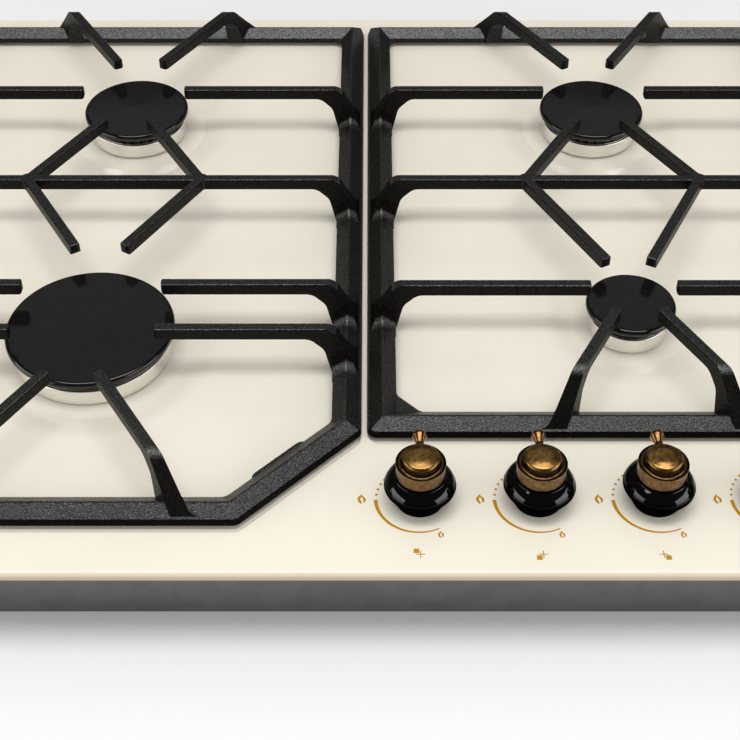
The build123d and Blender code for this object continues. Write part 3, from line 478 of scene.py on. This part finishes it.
def print_marks():
    """Scale, flames and burner symbol beside every knob."""
    gold = gold_print()
    for number, (centre, (side, row)) in enumerate(zip(KNOB_CENTRES, ICON_SQUARES), 1):
        x, y = PRINT_X + PRINT_PITCH * (number - 1), centre.y / MM
        loops = [arc_loop((x, y))] + [dot_loop((x, y), angle) for angle in DOT_ANGLES]
        outline_piece(f"print_scale_{number}", loops, gold)
        flames = flame_loops((x + BIG_FLAME[0], y + BIG_FLAME[1]), 1.0)
        outline_piece(f"print_big_flame_{number}", flames, gold)
        flames = flame_loops((x + SMALL_FLAME[0], y + SMALL_FLAME[1]), SMALL_FLAME_SCALE)
        outline_piece(f"print_small_flame_{number}", flames, gold)
        icon = icon_loops(x - ICON_CROSS_SHIFT * side, y + ICON_Y, side, row)
        outline_piece(f"print_burner_symbol_{number}", icon, gold)


# ---- stage, light and camera ----
def make_floor():
    """Plain pale floor that the tray stands on."""
    bpy.ops.mesh.primitive_plane_add(size=FLOOR_SIZE, location=(0, 0, FLOOR_Z - FLOOR_GAP))
    floor = bpy.context.object
    shader = Shader("pale_floor", Base_Color=(0.88, 0.88, 0.87, 1), Roughness=0.7)
    floor.data.materials.append(shader.material)


def area_light(name, place, aim, width, height, power):
    """Rectangular softbox at a place, turned to its aim."""
    data = bpy.data.lights.new(name, "AREA")
    data.shape = "RECTANGLE"
    data.size = width
    data.size_y = height
    data.energy = power
    light = bpy.data.objects.new(name, data)
    bpy.context.scene.collection.objects.link(light)
    light.location = place
    light.rotation_euler = (Vector(aim) - Vector(place)).to_track_quat("-Z", "Y").to_euler()
    return light


def make_light():
    """Two low softboxes beside the front, one overhead, and fills from behind and before."""
    area_light("left_box", (-1.90, -0.75, 0.48), (0.0, -0.1, 0.05), 2.0, 1.0, 18)
    area_light("right_box", (1.90, -0.75, 0.48), (0.0, -0.1, 0.05), 2.0, 1.0, 18)
    area_light("top_box", (0.0, -0.35, 2.1), (0.0, -0.34, 0), 2.1, 0.8, 26)
    area_light("rear_fill", (0.0, 2.0, 2.0), (0.0, 0.0, 0), 3.2, 1.4, 3)
    front = area_light("front_fill", (0.0, -2.2, 0.8), (0.0, -0.1, 0), 3.0, 0.8, 5)
    front.visible_glossy = False


def make_world():
    """White to the camera, an even fill for matt faces and a dim surround for what shines."""
    world = bpy.data.worlds.new("surround")
    bpy.context.scene.world = world
    world.use_nodes = True
    tree = world.node_tree
    path = tree.nodes.new("ShaderNodeLightPath")
    surround = tree.nodes["Background"]
    surround.inputs["Color"].default_value = (1.0, 0.98, 0.95, 1)
    surround.inputs["Strength"].default_value = SURROUND_STRENGTH
    output = surround.outputs["Background"]
    for ray, strength in (("Is Diffuse Ray", FILL_STRENGTH), ("Is Camera Ray", 1.0)):
        layer = tree.nodes.new("ShaderNodeBackground")
        layer.inputs["Strength"].default_value = strength
        mix = tree.nodes.new("ShaderNodeMixShader")
        tree.links.new(path.outputs[ray], mix.inputs["Fac"])
        tree.links.new(output, mix.inputs[1])
        tree.links.new(layer.outputs["Background"], mix.inputs[2])
        output = mix.outputs["Shader"]
    tree.links.new(output, tree.nodes["World Output"].inputs["Surface"])


def make_camera():
    """Camera at the photograph's place, angle and framing."""
    data = bpy.data.cameras.new("photo_camera")
    data.sensor_width = SENSOR_WIDTH
    data.lens = FOCAL_PX / IMAGE_SIZE * data.sensor_width
    data.shift_x = (IMAGE_SIZE / 2 - CENTRE_PX[0]) / IMAGE_SIZE
    data.shift_y = (CENTRE_PX[1] - IMAGE_SIZE / 2) / IMAGE_SIZE
    data.clip_start = CLIP_START
    camera = bpy.data.objects.new("photo_camera", data)
    bpy.context.scene.collection.objects.link(camera)
    camera.location = CAMERA_PLACE
    camera.rotation_euler = (math.pi / 2 - CAMERA_PITCH, 0, 0)
    bpy.context.scene.camera = camera


make_camera()
dress_nodes()
print_marks()
make_floor()
make_light()
make_world()
bpy.context.scene.view_settings.view_transform = "Standard"
